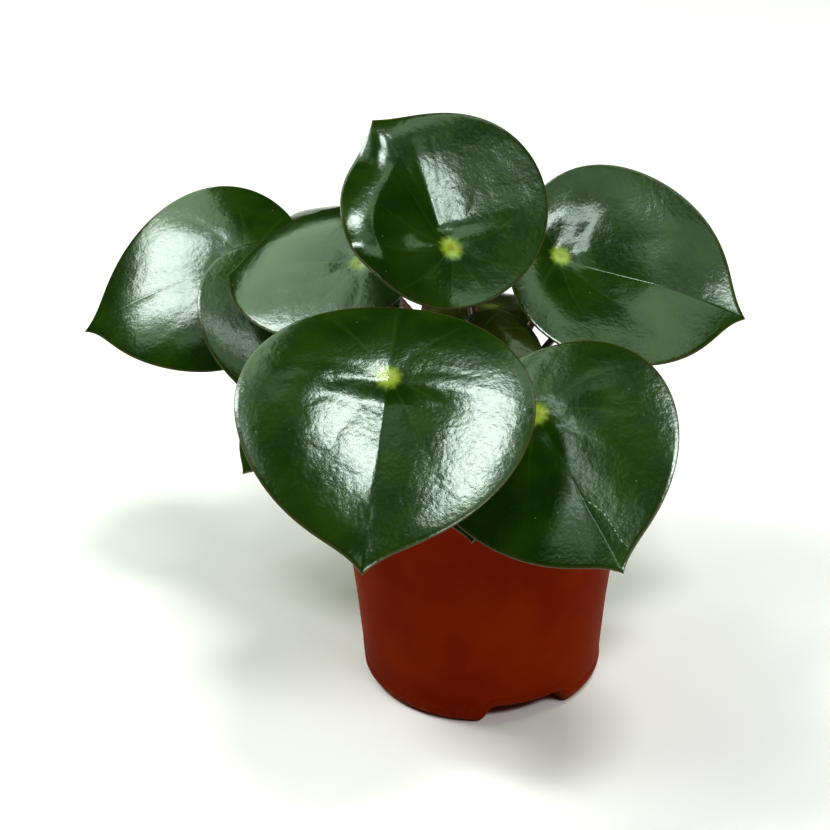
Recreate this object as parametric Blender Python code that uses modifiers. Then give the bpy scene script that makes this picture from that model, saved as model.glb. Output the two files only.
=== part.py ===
"""Raindrop peperomia in a thin formed nursery pot.

Metres, +Z up. The pot stands on z = 0 with its axis on Z, and the side that the photograph shows faces -Y.
Sizes below are in millimetres and angles in degrees, and MM turns them into metres as the meshes are made.
"""

import math
from dataclasses import dataclass

import bmesh
import bpy
from mathutils import Matrix, Vector

MM = 0.001
GAP = 0.3  # between pieces that touch

# Pot: radius and height down the outside, then down the inside. The lip is solid.
POT_WALL = 1.2
FLOOR_THICKNESS = 1.4
POT_OUTSIDE = (
    (52.9, 88.0), (53.5, 87.4), (53.5, 85.0), (52.9, 84.4), (51.0, 83.8), (49.4, 70.0), (47.2, 50.0),
    (45.0, 30.0), (43.6, 12.0), (43.2, 5.8), (43.5, 5.2), (43.1, 3.0), (42.0, 1.1), (40.2, 0.0),
)
POT_INSIDE = (
    (51.0, 89.0), (50.9, 88.0), (50.3, 87.3), (49.7, 82.0), (48.2, 70.0), (46.0, 50.0), (43.8, 30.0),
    (42.4, 12.0), (42.0, 5.0), (41.0, 2.6), (39.2, FLOOR_THICKNESS),
)
POT_STEPS = 64

# Three recesses under the rim of the foot, with a drain hole in the roof of each
RECESS_FIRST = -70.0  # heading of the one the photograph shows
RECESS_SPAN = 47.0
RECESS_HEIGHT = 5.8
RECESS_END = 7.0  # angle over which its roof comes down at each end
RECESS_INNER_RADIUS = 24.0
RECESS_OUTER_RADIUS = 60.0  # well outside the pot, so that it opens to the side
RECESS_BOTTOM = -1.0  # below the floor, so that it opens downwards
RECESS_STEPS = 24
DRAIN_RADIUS = 33.0
DRAIN_DIAMETER = 7.0
DRAIN_STEPS = 20

# Soil: radii of the rings of its top, which is a little higher round the stem
SOIL_TOP = 78.0
SOIL_RINGS = (9.6, 14.0, 19.0, 25.0, 31.0, 37.0, 43.0, 47.6)
SOIL_STEPS = 40
SOIL_ROUGHNESS = 1.1

# Stem: radius and height down its outside. It stands in a plain hole in the soil.
STEM_OUTSIDE = (
    (2.6, 115.0), (4.6, 113.0), (5.6, 109.0), (6.4, 103.0), (7.2, 96.0), (8.0, 88.0), (8.0, 56.0),
)
STEM_STEPS = 24
STALK_RADIUS = 1.7
STALK_SIDES_RESOLUTION = 2
STALK_PIECES = 8

# Leaves
BLADE_THICKNESS = 1.0
BLADE_STEPS = 30
BLADE_RINGS = (0.13, 0.42, 0.73, 1.0)  # share of the way from the stalk to the rim
TIP_CROWDING = 1.25  # draws the steps round the rim together towards the drip tip
TIP_SHARPNESS = 0.17  # radians round the stalk over which the drip tip stands out
ROLL_FROM = 0.72  # share of the way from the stalk to the rim where a rolled rim starts
ROLL_POWER = 1.3
ROLL_START = (-2.0, 22.0)  # degrees from the tip, to the left, over which a rolled rim starts
ROLL_END = (75.0, 105.0)  # and over which it ends

GREEN = (0.035, 0.105, 0.030, 1.0)
MAROON = (0.120, 0.030, 0.018, 1.0)
TERRACOTTA = (0.300, 0.060, 0.016, 1.0)
PEAT = (0.030, 0.018, 0.011, 1.0)


@dataclass(frozen=True)
class Leaf:
    """One leaf: where its stalk meets the blade, how the blade lies and how it curves."""

    name: str
    at: tuple[float, float, float]  # where the stalk meets the blade
    heading: float  # from the stalk to the tip, seen from above, anticlockwise from +X
    pitch: float  # tip down
    roll: float  # left side up, looking towards the tip
    length: float
    width: float
    foot: tuple[float, float]  # heading and height where its stalk leaves the stem
    stalk: float = 0.27  # share of the length behind the stalk
    drip: float = 0.09  # share of the length that is drip tip
    taper: float = 0.16  # how much narrower the front half is than the back half
    droop: float = 4.0  # fall of the rim all round
    droop_power: float = 2.2
    fold: float = 2.0  # rise of both sides
    tip_bend: float = 4.0
    curl_left: float = 0.0
    curl_right: float = 0.0
    curl_from: float = 0.35  # share of the half width where the curl starts
    curl_power: float = 2.0
    aside: float = 0.0  # how far the blade's middle lies to the left of its stalk
    navel: tuple[float, float] = (1.5, 5.0)  # depth and radius of the dimple over the stalk
    rim_roll: float = 0.0  # how far a stretch of the left rim is rolled under
    rim_pull: float = 0.0  # and drawn in
    wave: float = 1.0
    phase: float = 0.0
    rise: float = 0.40  # share of the way that the stalk goes on before it bends
    climb: float = 0.66  # how steeply it sets out
    reach: float = 0.35  # and that it comes straight up under the blade


LEAVES = (
    Leaf("leaf_top", (-10, -4, 160), 150, -51, -22, 71, 81, foot=(170, 100), stalk=0.30, drip=0.07,
         taper=0.0, droop=-2, fold=0, tip_bend=8, curl_left=-5, wave=0, rise=0.55, climb=0.2, aside=-6.2,
         rim_roll=6.0, rim_pull=2.0),
    Leaf("leaf_right_high", (31, 42, 143), -8, 18, 35, 89, 83, foot=(45, 100), stalk=0.21, taper=0.09,
         droop=0, fold=0, tip_bend=3.5, curl_left=-6, curl_right=-2.5, curl_from=0.0, curl_power=1.1,
         navel=(3.6, 18.0)),
    Leaf("leaf_left_far", (-87, 72, 132), 186, 16, -33, 92, 84, foot=(160, 90), stalk=0.26, taper=0.18,
         droop=6.5, fold=3, tip_bend=5, curl_left=1),
    Leaf("leaf_left_high", (-41, 17, 149), 160, 6, -29, 74, 66, foot=(150, 100), stalk=0.28, drip=0.05,
         taper=0.16, droop=3, fold=1, curl_left=-1, curl_right=5, reach=0.2),
    Leaf("leaf_left_mid", (-61, 50, 133), 245, 29, -8, 76, 75, foot=(150, 94)),
    Leaf("leaf_front", (-31, -54, 136), -98, 33, -6, 93, 89, foot=(-135, 97), stalk=0.30, taper=0.17,
         droop=3.0, droop_power=3.4, tip_bend=0, curl_left=-0.4, curl_right=2.4, navel=(0.5, 6.0)),
    Leaf("leaf_front_right", (15, -41, 117), -67, 27, 34.5, 86, 78, foot=(-55, 93), stalk=0.28,
         fold=4, tip_bend=-3, curl_left=7, curl_right=-2, curl_from=0.0, curl_power=1.0),
    Leaf("leaf_inner", (-1, 9, 124), -40, 22, 16, 40, 38, foot=(140, 105)),
    Leaf("leaf_back_left", (-40, 98, 143), 100, 9, 0, 70, 60, foot=(112, 96)),
    Leaf("leaf_left_low", (-46, -14, 115), 215, 15, 0, 60, 58, foot=(-160, 90), drip=0.05),
    Leaf("leaf_back_right", (44, 76, 128), 45, 12, 0, 78, 72, foot=(60, 93), rise=0.25),
    Leaf("leaf_back_high", (-8, 92, 152), 92, 8, 0, 74, 70, foot=(90, 103), climb=0.95),
    Leaf("leaf_front_low", (0, -39, 102), -104, 31, 8, 44, 38, foot=(-85, 88), droop=1, tip_bend=0,
         reach=0.25),
    Leaf("leaf_right_low", (38, 5, 103), -5, 15, 0, 46, 46, foot=(5, 90), reach=0.25),
    Leaf("leaf_back_low", (5, 50, 120), 80, 2, 0, 52, 50, foot=(75, 90), reach=0.3),
    Leaf("leaf_back_left_low", (-34, 66, 104), 128, 8, 0, 62, 58, foot=(125, 89), reach=0.3),
    Leaf("leaf_young", (21, 13, 109), 20, -5, 0, 20, 17, foot=(28, 100), droop=-1, fold=3, tip_bend=-1),
)


def collection(name: str) -> bpy.types.Collection:
    """Makes a collection in the scene."""
    made = bpy.data.collections.new(name)
    bpy.context.scene.collection.children.link(made)
    return made


def material(name: str, colour: tuple[float, float, float, float], roughness: float) -> bpy.types.Material:
    """Makes a Principled BSDF of one colour."""
    made = bpy.data.materials.new(name)
    made.use_nodes = True
    shader = made.node_tree.nodes["Principled BSDF"]
    shader.inputs["Base Color"].default_value = colour
    shader.inputs["Roughness"].default_value = roughness
    made.diffuse_color = colour
    return made


class Builder:
    """Puts finished pieces in one collection and the shapes that cut or join them in another."""

    def __init__(self) -> None:
        self.pieces = collection("potted_peperomia")
        self.helpers = collection("helpers")
        self.helpers.hide_render = True

    def piece(self, name: str, bm: bmesh.types.BMesh, skin: bpy.types.Material) -> bpy.types.Object:
        """Turns a bmesh in metres into a piece."""
        bmesh.ops.recalc_face_normals(bm, faces=bm.faces)
        return self._add(name, bm, self.pieces, skin)

    def helper(self, name: str, bm: bmesh.types.BMesh) -> bpy.types.Object:
        """Turns a bmesh in metres into a shape that isn't rendered."""
        bmesh.ops.recalc_face_normals(bm, faces=bm.faces)
        made = self._add(name, bm, self.helpers, None)
        made.hide_render = True
        made.display_type = "WIRE"
        return made

    def _add(self, name: str, bm: bmesh.types.BMesh, where: bpy.types.Collection,
             skin: bpy.types.Material | None) -> bpy.types.Object:
        """Makes the object, and frees the bmesh."""
        mesh = bpy.data.meshes.new(name)
        bm.to_mesh(mesh)
        bm.free()
        made = bpy.data.objects.new(name, mesh)
        if skin is not None:
            mesh.materials.append(skin)
        where.objects.link(made)
        return made


def lathe(profile: tuple | list, steps: int) -> bmesh.types.BMesh:
    """Turns a profile about Z. It runs down the outside, and its ends are joined to the axis."""
    bm = bmesh.new()
    points = [(0.0, profile[0][1]), *profile, (0.0, profile[-1][1])]
    row = [bm.verts.new((r * MM, 0.0, z * MM)) for r, z in points]
    edges = [bm.edges.new(pair) for pair in zip(row, row[1:])]
    bmesh.ops.spin(bm, geom=row + edges, axis=(0, 0, 1), cent=(0, 0, 0), angle=math.tau, steps=steps,
                   use_merge=True)
    bmesh.ops.remove_doubles(bm, verts=bm.verts, dist=0.01 * MM)
    return bm


def boolean(target: bpy.types.Object, other: bpy.types.Object, operation: str = "DIFFERENCE") -> None:
    """Adds an exact Boolean."""
    made = target.modifiers.new(f"{operation.lower()}_{other.name}", "BOOLEAN")
    made.operation = operation
    made.solver = "EXACT"
    made.object = other


def recess(heading: float, margin: float) -> bmesh.types.BMesh:
    """A block of ring under the foot whose roof comes down softly at both ends, larger by a margin."""
    bm = bmesh.new()
    inner, outer = RECESS_INNER_RADIUS - margin, RECESS_OUTER_RADIUS
    half = RECESS_SPAN / 2 + math.degrees(margin / POT_OUTSIDE[-1][0])
    corners = ((inner, RECESS_BOTTOM), (outer, RECESS_BOTTOM), (outer, 0.0), (inner, 0.0))
    face = bm.faces.new([bm.verts.new((r * MM, 0.0, z * MM)) for r, z in corners])
    bmesh.ops.rotate(bm, verts=bm.verts, cent=(0, 0, 0),
                     matrix=Matrix.Rotation(math.radians(heading - half), 3, "Z"))
    bmesh.ops.spin(bm, geom=[face, *face.edges, *face.verts], axis=(0, 0, 1), cent=(0, 0, 0),
                   angle=math.radians(2 * half), steps=RECESS_STEPS, use_merge=False)
    for vert in bm.verts:
        if vert.co.z < RECESS_BOTTOM / 2 * MM:
            continue
        turn = (math.degrees(math.atan2(vert.co.y, vert.co.x)) - heading + 180.0) % 360.0 - 180.0
        share = min(1.0, max(0.0, (half - abs(turn)) / RECESS_END))
        soft = share * share * (3.0 - 2.0 * share)
        low = RECESS_BOTTOM / 2
        vert.co.z = (low + (RECESS_HEIGHT - low + margin) * soft) * MM
    return bm


def recess_headings() -> list[float]:
    """Headings of the three recesses."""
    return [RECESS_FIRST + 120.0 * i for i in range(3)]


def drain(heading: float) -> bmesh.types.BMesh:
    """A round hole through the roof of a recess."""
    bm = bmesh.new()
    turn = math.radians(heading)
    place = Vector((DRAIN_RADIUS * math.cos(turn), DRAIN_RADIUS * math.sin(turn), RECESS_HEIGHT)) * MM
    radius = DRAIN_DIAMETER / 2 * MM
    bmesh.ops.create_cone(bm, cap_ends=True, segments=DRAIN_STEPS, radius1=radius, radius2=radius,
                          depth=2 * RECESS_HEIGHT * MM, matrix=Matrix.Translation(place))
    return bm


def build_pot(builder: Builder) -> None:
    """The pot: a turned shell with three recesses under its foot and a drain hole above each."""
    plastic = material("terracotta_plastic", TERRACOTTA, 0.45)
    pot = builder.piece("pot", lathe(POT_OUTSIDE, POT_STEPS), plastic)
    inside = builder.helper("pot_inside", lathe(POT_INSIDE, POT_STEPS))
    for i, heading in enumerate(recess_headings()):
        boolean(inside, builder.helper(f"pot_hump_{i}", recess(heading, POT_WALL)))
    boolean(pot, inside)
    for i, heading in enumerate(recess_headings()):
        boolean(pot, builder.helper(f"pot_recess_{i}", recess(heading, 0.0)))
        boolean(pot, builder.helper(f"pot_drain_{i}", drain(heading)))


def soil_height(x: float, y: float) -> float:
    """Height of the soil's top: a low mound with lumps."""
    mound = 2.0 * math.exp(-((x * x + y * y) / 24.0**2))
    lumps = math.sin(0.31 * x + 1.7 * math.sin(0.23 * y)) + math.sin(0.37 * y - 1.3 * math.sin(0.19 * x))
    fine = math.sin(0.83 * x + 0.41 * y + 1.0) * math.sin(0.71 * y - 0.35 * x)
    return SOIL_TOP + mound + SOIL_ROUGHNESS * (0.45 * lumps + 0.5 * fine)


def build_soil(builder: Builder) -> None:
    """The soil: it fills the pot, clear of its wall, and has a plain hole for the stem."""
    hole = STEM_OUTSIDE[-1][0] + GAP
    profile = [(hole, STEM_OUTSIDE[-1][1] - GAP), (hole, SOIL_TOP)]
    profile += [(r, SOIL_TOP) for r in SOIL_RINGS]
    profile += [(r - GAP, z) for r, z in POT_INSIDE if z < SOIL_TOP - 2.0]
    profile[-1] = (profile[-1][0], FLOOR_THICKNESS + GAP)
    profile[-2] = (profile[-2][0], profile[-2][1] + GAP)
    bm = lathe(profile, SOIL_STEPS)
    for vert in bm.verts:
        x, y = vert.co.x / MM, vert.co.y / MM
        if abs(vert.co.z / MM - SOIL_TOP) < 0.01:
            vert.co.z = soil_height(x, y) * MM
    soil = builder.piece("soil", bm, material("peat", PEAT, 0.95))
    for i, heading in enumerate(recess_headings()):
        boolean(soil, builder.helper(f"soil_hump_{i}", recess(heading, POT_WALL + 3 * GAP)))


def leaf_matrix(leaf: Leaf) -> Matrix:
    """The blade's own axes: X to the tip, Z out of its upper face."""
    heading, pitch, roll = (math.radians(v) for v in (leaf.heading, leaf.pitch, leaf.roll))
    turned = (Matrix.Rotation(heading, 4, "Z") @ Matrix.Rotation(pitch, 4, "Y")
              @ Matrix.Rotation(roll, 4, "X"))
    return Matrix.Translation(Vector(leaf.at) * MM) @ turned


def smooth_step(low: float, high: float, value: float) -> float:
    """Runs softly from 0 at low to 1 at high."""
    share = min(1.0, max(0.0, (value - low) / (high - low)))
    return share * share * (3.0 - 2.0 * share)


def blade_point(leaf: Leaf, share: float, turn: float) -> Vector:
    """A point of the blade's upper face, a share of the way from the stalk to the rim."""
    drip = leaf.drip * leaf.length
    back = leaf.stalk * leaf.length
    front = leaf.length - back - drip
    x = (front - back) / 2 + (front + back) / 2 * math.cos(turn) + drip * math.exp(-abs(turn) / TIP_SHARPNESS)
    y = leaf.width / 2 * math.sin(turn) * (1 - leaf.taper * math.cos(turn))
    rolled = smooth_step(*ROLL_START, math.degrees(turn)) - smooth_step(*ROLL_END, math.degrees(turn))
    pulled = 1.0 - leaf.rim_pull / leaf.width * 2 * rolled * share**3
    x, y = x * share * pulled, (y + leaf.aside) * share * pulled
    side = abs(y - leaf.aside * share) / (leaf.width / 2)
    curl = leaf.curl_left if y > 0 else leaf.curl_right
    z = leaf.fold * side**1.3 - leaf.droop * share**leaf.droop_power
    z -= curl * (max(0.0, side - leaf.curl_from) / (1.0 - leaf.curl_from)) ** leaf.curl_power
    if x > 0:
        z -= leaf.tip_bend * (x / (leaf.length - back)) ** 4
    z += leaf.wave * share**3 * math.sin(3 * turn + leaf.phase)
    z -= leaf.navel[0] * math.exp(-((share * leaf.width / 2 / leaf.navel[1]) ** 2))
    z -= leaf.rim_roll * rolled * (max(0.0, share - ROLL_FROM) / (1.0 - ROLL_FROM)) ** ROLL_POWER
    return Vector((x, y, z)) * MM


def build_leaf(builder: Builder, leaf: Leaf, green: bpy.types.Material) -> None:
    """A blade: a disc round the stalk, shaped by formula and thickened downwards."""
    bm = bmesh.new()
    row = [bm.verts.new((share, 0.0, 0.0)) for share in (0.0, *BLADE_RINGS)]
    edges = [bm.edges.new(pair) for pair in zip(row, row[1:])]
    bmesh.ops.spin(bm, geom=row + edges, axis=(0, 0, 1), cent=(0, 0, 0), angle=math.tau,
                   steps=BLADE_STEPS, use_merge=True)
    bmesh.ops.remove_doubles(bm, verts=bm.verts, dist=1e-6)
    for vert in bm.verts:
        even = math.atan2(vert.co.y, vert.co.x) / math.pi
        turn = math.copysign(abs(even) ** TIP_CROWDING, even) * math.pi
        vert.co = blade_point(leaf, vert.co.xy.length, turn)
    bmesh.ops.triangulate(bm, faces=bm.faces)
    blade = builder.piece(leaf.name, bm, green)
    if sum(face.normal.z for face in blade.data.polygons) < 0:
        blade.data.flip_normals()
    blade.matrix_world = leaf_matrix(leaf)
    shell = blade.modifiers.new("thickness", "SOLIDIFY")
    shell.thickness = BLADE_THICKNESS * MM
    shell.offset = -1.0


def stalk_points(leaf: Leaf) -> list[Vector]:
    """Middle line of a leaf's stalk in millimetres, from inside the stem to just under the blade."""
    up = leaf_matrix(leaf).to_3x3() @ Vector((0, 0, 1))
    turn, height = math.radians(leaf.foot[0]), leaf.foot[1]
    out = Vector((math.cos(turn), math.sin(turn), 0.0))
    start = out * 3.0 + Vector((0, 0, height))
    end = Vector(leaf.at) - up * (leaf.navel[0] + BLADE_THICKNESS + 1.5 * GAP)
    far = (end - start).length
    first = start + (out * 0.75 + Vector((0, 0, leaf.climb))) * far * leaf.rise
    second = end - up * far * leaf.reach
    points = []
    for i in range(STALK_PIECES + 1):
        t = i / STALK_PIECES
        s = 1 - t
        points.append(start * s**3 + first * 3 * s * s * t + second * 3 * s * t * t + end * t**3)
    return points


def stalk(builder: Builder, leaf: Leaf) -> bpy.types.Object:
    """One leaf stalk as a tube, a little stouter at its foot, to join to the stem."""
    curve = bpy.data.curves.new("stalk_line", "CURVE")
    curve.dimensions = "3D"
    curve.bevel_depth = STALK_RADIUS * MM
    curve.bevel_resolution = STALK_SIDES_RESOLUTION
    curve.use_fill_caps = True
    line = curve.splines.new("POLY")
    points = stalk_points(leaf)
    line.points.add(len(points) - 1)
    for i, (slot, point) in enumerate(zip(line.points, points)):
        slot.co = (*(point * MM), 1.0)
        slot.radius = 1.25 - 0.35 * i / (len(points) - 1)
    drawn = bpy.data.objects.new("stalk_line", curve)
    builder.helpers.objects.link(drawn)
    drawn.hide_render = True
    bpy.context.view_layer.update()
    mesh = bpy.data.meshes.new_from_object(drawn.evaluated_get(bpy.context.evaluated_depsgraph_get()))
    bpy.data.objects.remove(drawn)
    bm = bmesh.new()
    bm.from_mesh(mesh)
    bmesh.ops.remove_doubles(bm, verts=bm.verts, dist=0.01 * MM)
    return builder.helper(leaf.name.replace("leaf", "stalk"), bm)


def build_stem(builder: Builder) -> None:
    """The stem with every leaf stalk grown from it, as one body."""
    stem = builder.piece("stem", lathe(STEM_OUTSIDE, STEM_STEPS), material("maroon_stem", MAROON, 0.5))
    for leaf in LEAVES:
        boolean(stem, stalk(builder, leaf), "UNION")


def main() -> None:
    for old in list(bpy.data.objects):
        bpy.data.objects.remove(old)
    builder = Builder()
    build_pot(builder)
    build_soil(builder)
    build_stem(builder)
    green = material("leaf_green", GREEN, 0.25)
    for leaf in LEAVES:
        build_leaf(builder, leaf, green)


main()
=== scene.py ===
"""Raindrop peperomia in its nursery pot: the finish of every surface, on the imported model.

Sizes are in millimetres and angles in degrees, and MM turns them into metres as the meshes are made. The
leaves, stalks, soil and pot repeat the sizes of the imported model, with more faces and finer relief.
"""

import logging
import math
import random
from dataclasses import dataclass
from enum import Enum

import bmesh
import bpy
from bmesh.types import BMesh
from bpy.types import ID, Material, Mesh, Node, NodeSocket as Socket, Object
from mathutils import Matrix, Vector, noise


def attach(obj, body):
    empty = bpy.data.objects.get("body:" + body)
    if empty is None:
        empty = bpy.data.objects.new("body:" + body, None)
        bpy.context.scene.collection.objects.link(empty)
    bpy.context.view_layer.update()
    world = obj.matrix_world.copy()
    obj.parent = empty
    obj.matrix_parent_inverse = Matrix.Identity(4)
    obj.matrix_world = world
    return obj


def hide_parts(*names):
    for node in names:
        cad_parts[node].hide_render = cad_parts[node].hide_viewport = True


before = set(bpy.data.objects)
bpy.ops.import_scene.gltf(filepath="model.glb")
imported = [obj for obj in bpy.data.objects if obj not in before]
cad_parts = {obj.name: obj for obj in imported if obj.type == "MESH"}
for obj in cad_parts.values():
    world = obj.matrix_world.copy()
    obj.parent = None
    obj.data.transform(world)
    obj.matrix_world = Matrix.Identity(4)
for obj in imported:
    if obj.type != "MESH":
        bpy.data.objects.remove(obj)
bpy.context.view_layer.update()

log = logging.getLogger("peperomia")

MM = 0.001
BODY = "root"
UV_SPAN = 200.0  # a blade's map is this wide, with its stalk in the middle

Colour = tuple[float, float, float]
Pair = tuple[float, float]
Profile = tuple[Pair, ...]


def smooth_step(low: float, high: float, value: float) -> float:
    """Returns 0 for a value up to low, 1 for one from high on, and a soft rise between them."""
    share = min(1.0, max(0.0, (value - low) / (high - low)))
    return share * share * (3.0 - 2.0 * share)


def linked(name: str, data: ID | BMesh) -> Object:
    """Makes an object and links it into the scene.

    Args:
        name: its name.
        data: its mesh, curve, light or camera, or a bmesh in metres, which is freed.

    Returns:
        The object, at the origin.
    """
    if isinstance(data, BMesh):
        mesh = bpy.data.meshes.new(name)
        data.to_mesh(mesh)
        data.free()
        data = mesh
    made = bpy.data.objects.new(name, data)
    bpy.context.scene.collection.objects.link(made)
    return made


def baked(shape: Object) -> Mesh:
    """Bakes an object's bevel or modifiers into a new mesh and removes the object.

    Args:
        shape: the object.

    Returns:
        The mesh.
    """
    bpy.context.view_layer.update()
    graph = bpy.context.evaluated_depsgraph_get()
    made = bpy.data.meshes.new_from_object(shape.evaluated_get(graph))
    bpy.data.objects.remove(shape)
    return made


def piece(name: str, shape: Mesh | BMesh, node: str, slot: str, *materials: Material) -> Object:
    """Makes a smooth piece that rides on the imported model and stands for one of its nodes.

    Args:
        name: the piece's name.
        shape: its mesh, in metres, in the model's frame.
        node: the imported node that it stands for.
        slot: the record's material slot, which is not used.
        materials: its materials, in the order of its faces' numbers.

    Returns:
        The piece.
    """
    made = linked(name, shape)
    for material in materials:
        made.data.materials.append(material)
    made.data.polygons.foreach_set("use_smooth", [True] * len(made.data.polygons))
    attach(made, BODY)
    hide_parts(node)
    return made


def lathe(profile: Profile | list[Pair], steps: int, unit: float = MM, weld: float = 0.005) -> BMesh:
    """Turns a profile about Z.

    Args:
        profile: radius and height from the axis at one end to the axis at the other.
        steps: faces round the axis.
        unit: the profile's unit in metres.
        weld: points this near become one.

    Returns:
        A closed bmesh.
    """
    bm = bmesh.new()
    row = [bm.verts.new((radius * unit, 0.0, height * unit)) for radius, height in profile]
    edges = [bm.edges.new(pair) for pair in zip(row, row[1:])]
    bmesh.ops.spin(bm, geom=row + edges, axis=(0, 0, 1), cent=(0, 0, 0), angle=math.tau, steps=steps,
                   use_merge=True)
    bmesh.ops.remove_doubles(bm, verts=bm.verts, dist=weld * unit)
    bmesh.ops.recalc_face_normals(bm, faces=bm.faces)
    return bm


class Graph:
    """A material's nodes, with short calls for those that the finishes share."""

    def __init__(self, name: str) -> None:
        """Makes a material with a Principled BSDF.

        Args:
            name: the material's name.
        """
        self.material = bpy.data.materials.new(name)
        self.material.use_nodes = True
        self.nodes = self.material.node_tree.nodes
        self.links = self.material.node_tree.links
        self.shader = self.nodes["Principled BSDF"]

    def node(self, kind: str, *values: object, **settings: object) -> Node:
        """Adds a node, sets its properties and feeds its first inputs.

        Args:
            kind: the node's type, without the word ShaderNode.
            values: outputs, numbers, vectors or colours, in the order of the inputs.
            settings: properties of the node.

        Returns:
            The node.
        """
        made = self.nodes.new(f"ShaderNode{kind}")
        for key, value in settings.items():
            setattr(made, key, value)
        for target, value in zip(made.inputs, values):
            self.feed(target, value)
        return made

    def feed(self, target: Socket, source: object) -> None:
        """Links a socket to a target, or sets a plain value on it.

        Args:
            target: the input.
            source: an output, a number, a vector or a colour.
        """
        if isinstance(source, Socket):
            self.links.new(source, target)
        elif target.type == "RGBA":
            target.default_value = (*source, 1.0)
        else:
            target.default_value = source

    def math(self, operation: str, *values: object) -> Socket:
        """Returns the output of a Math node fed with outputs or numbers."""
        return self.node("Math", *values, operation=operation).outputs[0]

    def times(self, first: object, second: object) -> Socket:
        """Returns the product of two outputs or numbers."""
        return self.math("MULTIPLY", first, second)

    def spread(self, middle: float, width: float, value: Socket) -> Socket:
        """Spreads a value from 0 to 1 over a width about a middle."""
        return self.math("MULTIPLY_ADD", value, width, middle - width / 2)

    def rise(self, value: Socket, low: float, high: float, start: float = 0.0, end: float = 1.0) -> Socket:
        """Maps a value softly, from start where it is at low to end where it is at high."""
        made = self.node("MapRange", value, low, high, start, end, interpolation_type="SMOOTHSTEP")
        return made.outputs["Result"]

    def vector(self, operation: str, *values: object) -> Socket:
        """Returns the output of a Vector Math node fed with outputs or vectors."""
        outputs = self.node("VectorMath", *values, operation=operation).outputs
        return outputs["Value" if operation in ("LENGTH", "DOT_PRODUCT") else "Vector"]

    def mix(self, share: object, first: object, second: object) -> Socket:
        """Mixes two colours.

        Args:
            share: how much of the second.
            first: a colour or an output.
            second: a colour or an output.

        Returns:
            The mixed colour.
        """
        made = self.node("Mix", share, data_type="RGBA")
        self.feed(made.inputs[6], first)
        self.feed(made.inputs[7], second)
        return made.outputs[2]

    def noise(self, size: float, detail: float = 2.0, stretch: Colour = (1.0, 1.0, 1.0)) -> Socket:
        """Adds a noise on the object's coordinates whose lumps are about a given size.

        Args:
            size: millimetres from lump to lump.
            detail: octaves of finer noise on it.
            stretch: how much closer together it is along each axis.

        Returns:
            The noise, from 0 to 1.
        """
        mapping = self.node("Mapping", self.node("TexCoord").outputs["Object"])
        mapping.inputs["Scale"].default_value = tuple(v / (size * MM) for v in stretch)
        unused, scale = 0.0, 1.0
        return self.node("TexNoise", mapping.outputs["Vector"], unused, scale, detail).outputs["Fac"]

    def mottled(self, first: Colour, second: Colour, size: float, detail: float = 3.0,
                softness: float = 0.15) -> Socket:
        """Mixes two colours in patches of about a size, with edges as soft as softness."""
        share = self.rise(self.noise(size, detail), 0.5 - softness, 0.5 + softness)
        return self.mix(share, first, second)

    def bump(self, height: Socket, depth: float, under: Socket | None = None) -> Socket:
        """Adds relief.

        Args:
            height: the relief, from 0 to 1.
            depth: millimetres that 1 stands above 0.
            under: a normal that the relief lies on.

        Returns:
            The normal.
        """
        made = self.node("Bump")
        made.inputs["Distance"].default_value = depth * MM
        self.feed(made.inputs["Height"], height)
        if under is not None:
            self.feed(made.inputs["Normal"], under)
        return made.outputs["Normal"]

    def dress(self, colour: object, roughness: object, normal: Socket | None = None) -> Material:
        """Feeds the shader.

        Args:
            colour: the base colour.
            roughness: the roughness.
            normal: the relief's normal.

        Returns:
            The material.
        """
        for key, source in (("Base Color", colour), ("Roughness", roughness), ("Normal", normal)):
            if source is not None:
                self.feed(self.shader.inputs[key], source)
        return self.material


class LeafTone(Enum):
    """The tones that a blade's upper face can have: its dark and its lighter green. SHADED is painted shade:
    a dull, dark olive tone for blades deep inside the plant.
    """

    MATURE = ((0.0092, 0.030, 0.0003), (0.0165, 0.045, 0.0005))
    # SHADED paints shade: its darker, duller greens stand in for the shade that falls on blades deep inside
    # the plant.
    SHADED = ((0.014, 0.024, 0.0012), (0.030, 0.036, 0.003))
    YOUNG = ((0.035, 0.100, 0.008), (0.060, 0.140, 0.012))


@dataclass(frozen=True)
class VeinPlan:
    """How the veins run from the stalk to the rim. Geometry and finish both follow it."""

    count: int = 10
    bend: float = 0.35  # how far they turn towards the tip
    reach: float = 45.0  # radius at which they have turned that far

    def between(self, radius: float, angle: float) -> float:
        """Returns 0 on a vein and 1 halfway between two, at a radius and at radians from the midrib."""
        turned = angle + self.bend * radius / self.reach * math.sin(angle)
        return abs(math.sin(self.count / 2 * turned))


VEINS = VeinPlan()


class BladeMap:
    """Reads a blade's map: where a place lies on the flat blade, and how far it is from a vein."""

    def __init__(self, graph: Graph) -> None:
        """Adds the nodes that read it.

        Args:
            graph: the material's nodes.
        """
        uv = graph.node("UVMap", uv_map="blade").outputs["UV"]
        self.flat = graph.vector("MULTIPLY", graph.vector("SUBTRACT", uv, (0.5, 0.5, 0.0)), (UV_SPAN,) * 3)
        self.radius = graph.vector("LENGTH", self.flat)
        x, y, _ = graph.node("SeparateXYZ", self.flat).outputs
        turned = graph.math("MULTIPLY_ADD", y, VEINS.bend / VEINS.reach, graph.math("ARCTAN2", y, x))
        self.between = graph.math("ABSOLUTE", graph.math("SINE", graph.times(turned, VEINS.count / 2)))
        self.off_vein = graph.times(graph.times(self.between, self.radius), 2.0 / VEINS.count)


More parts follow.
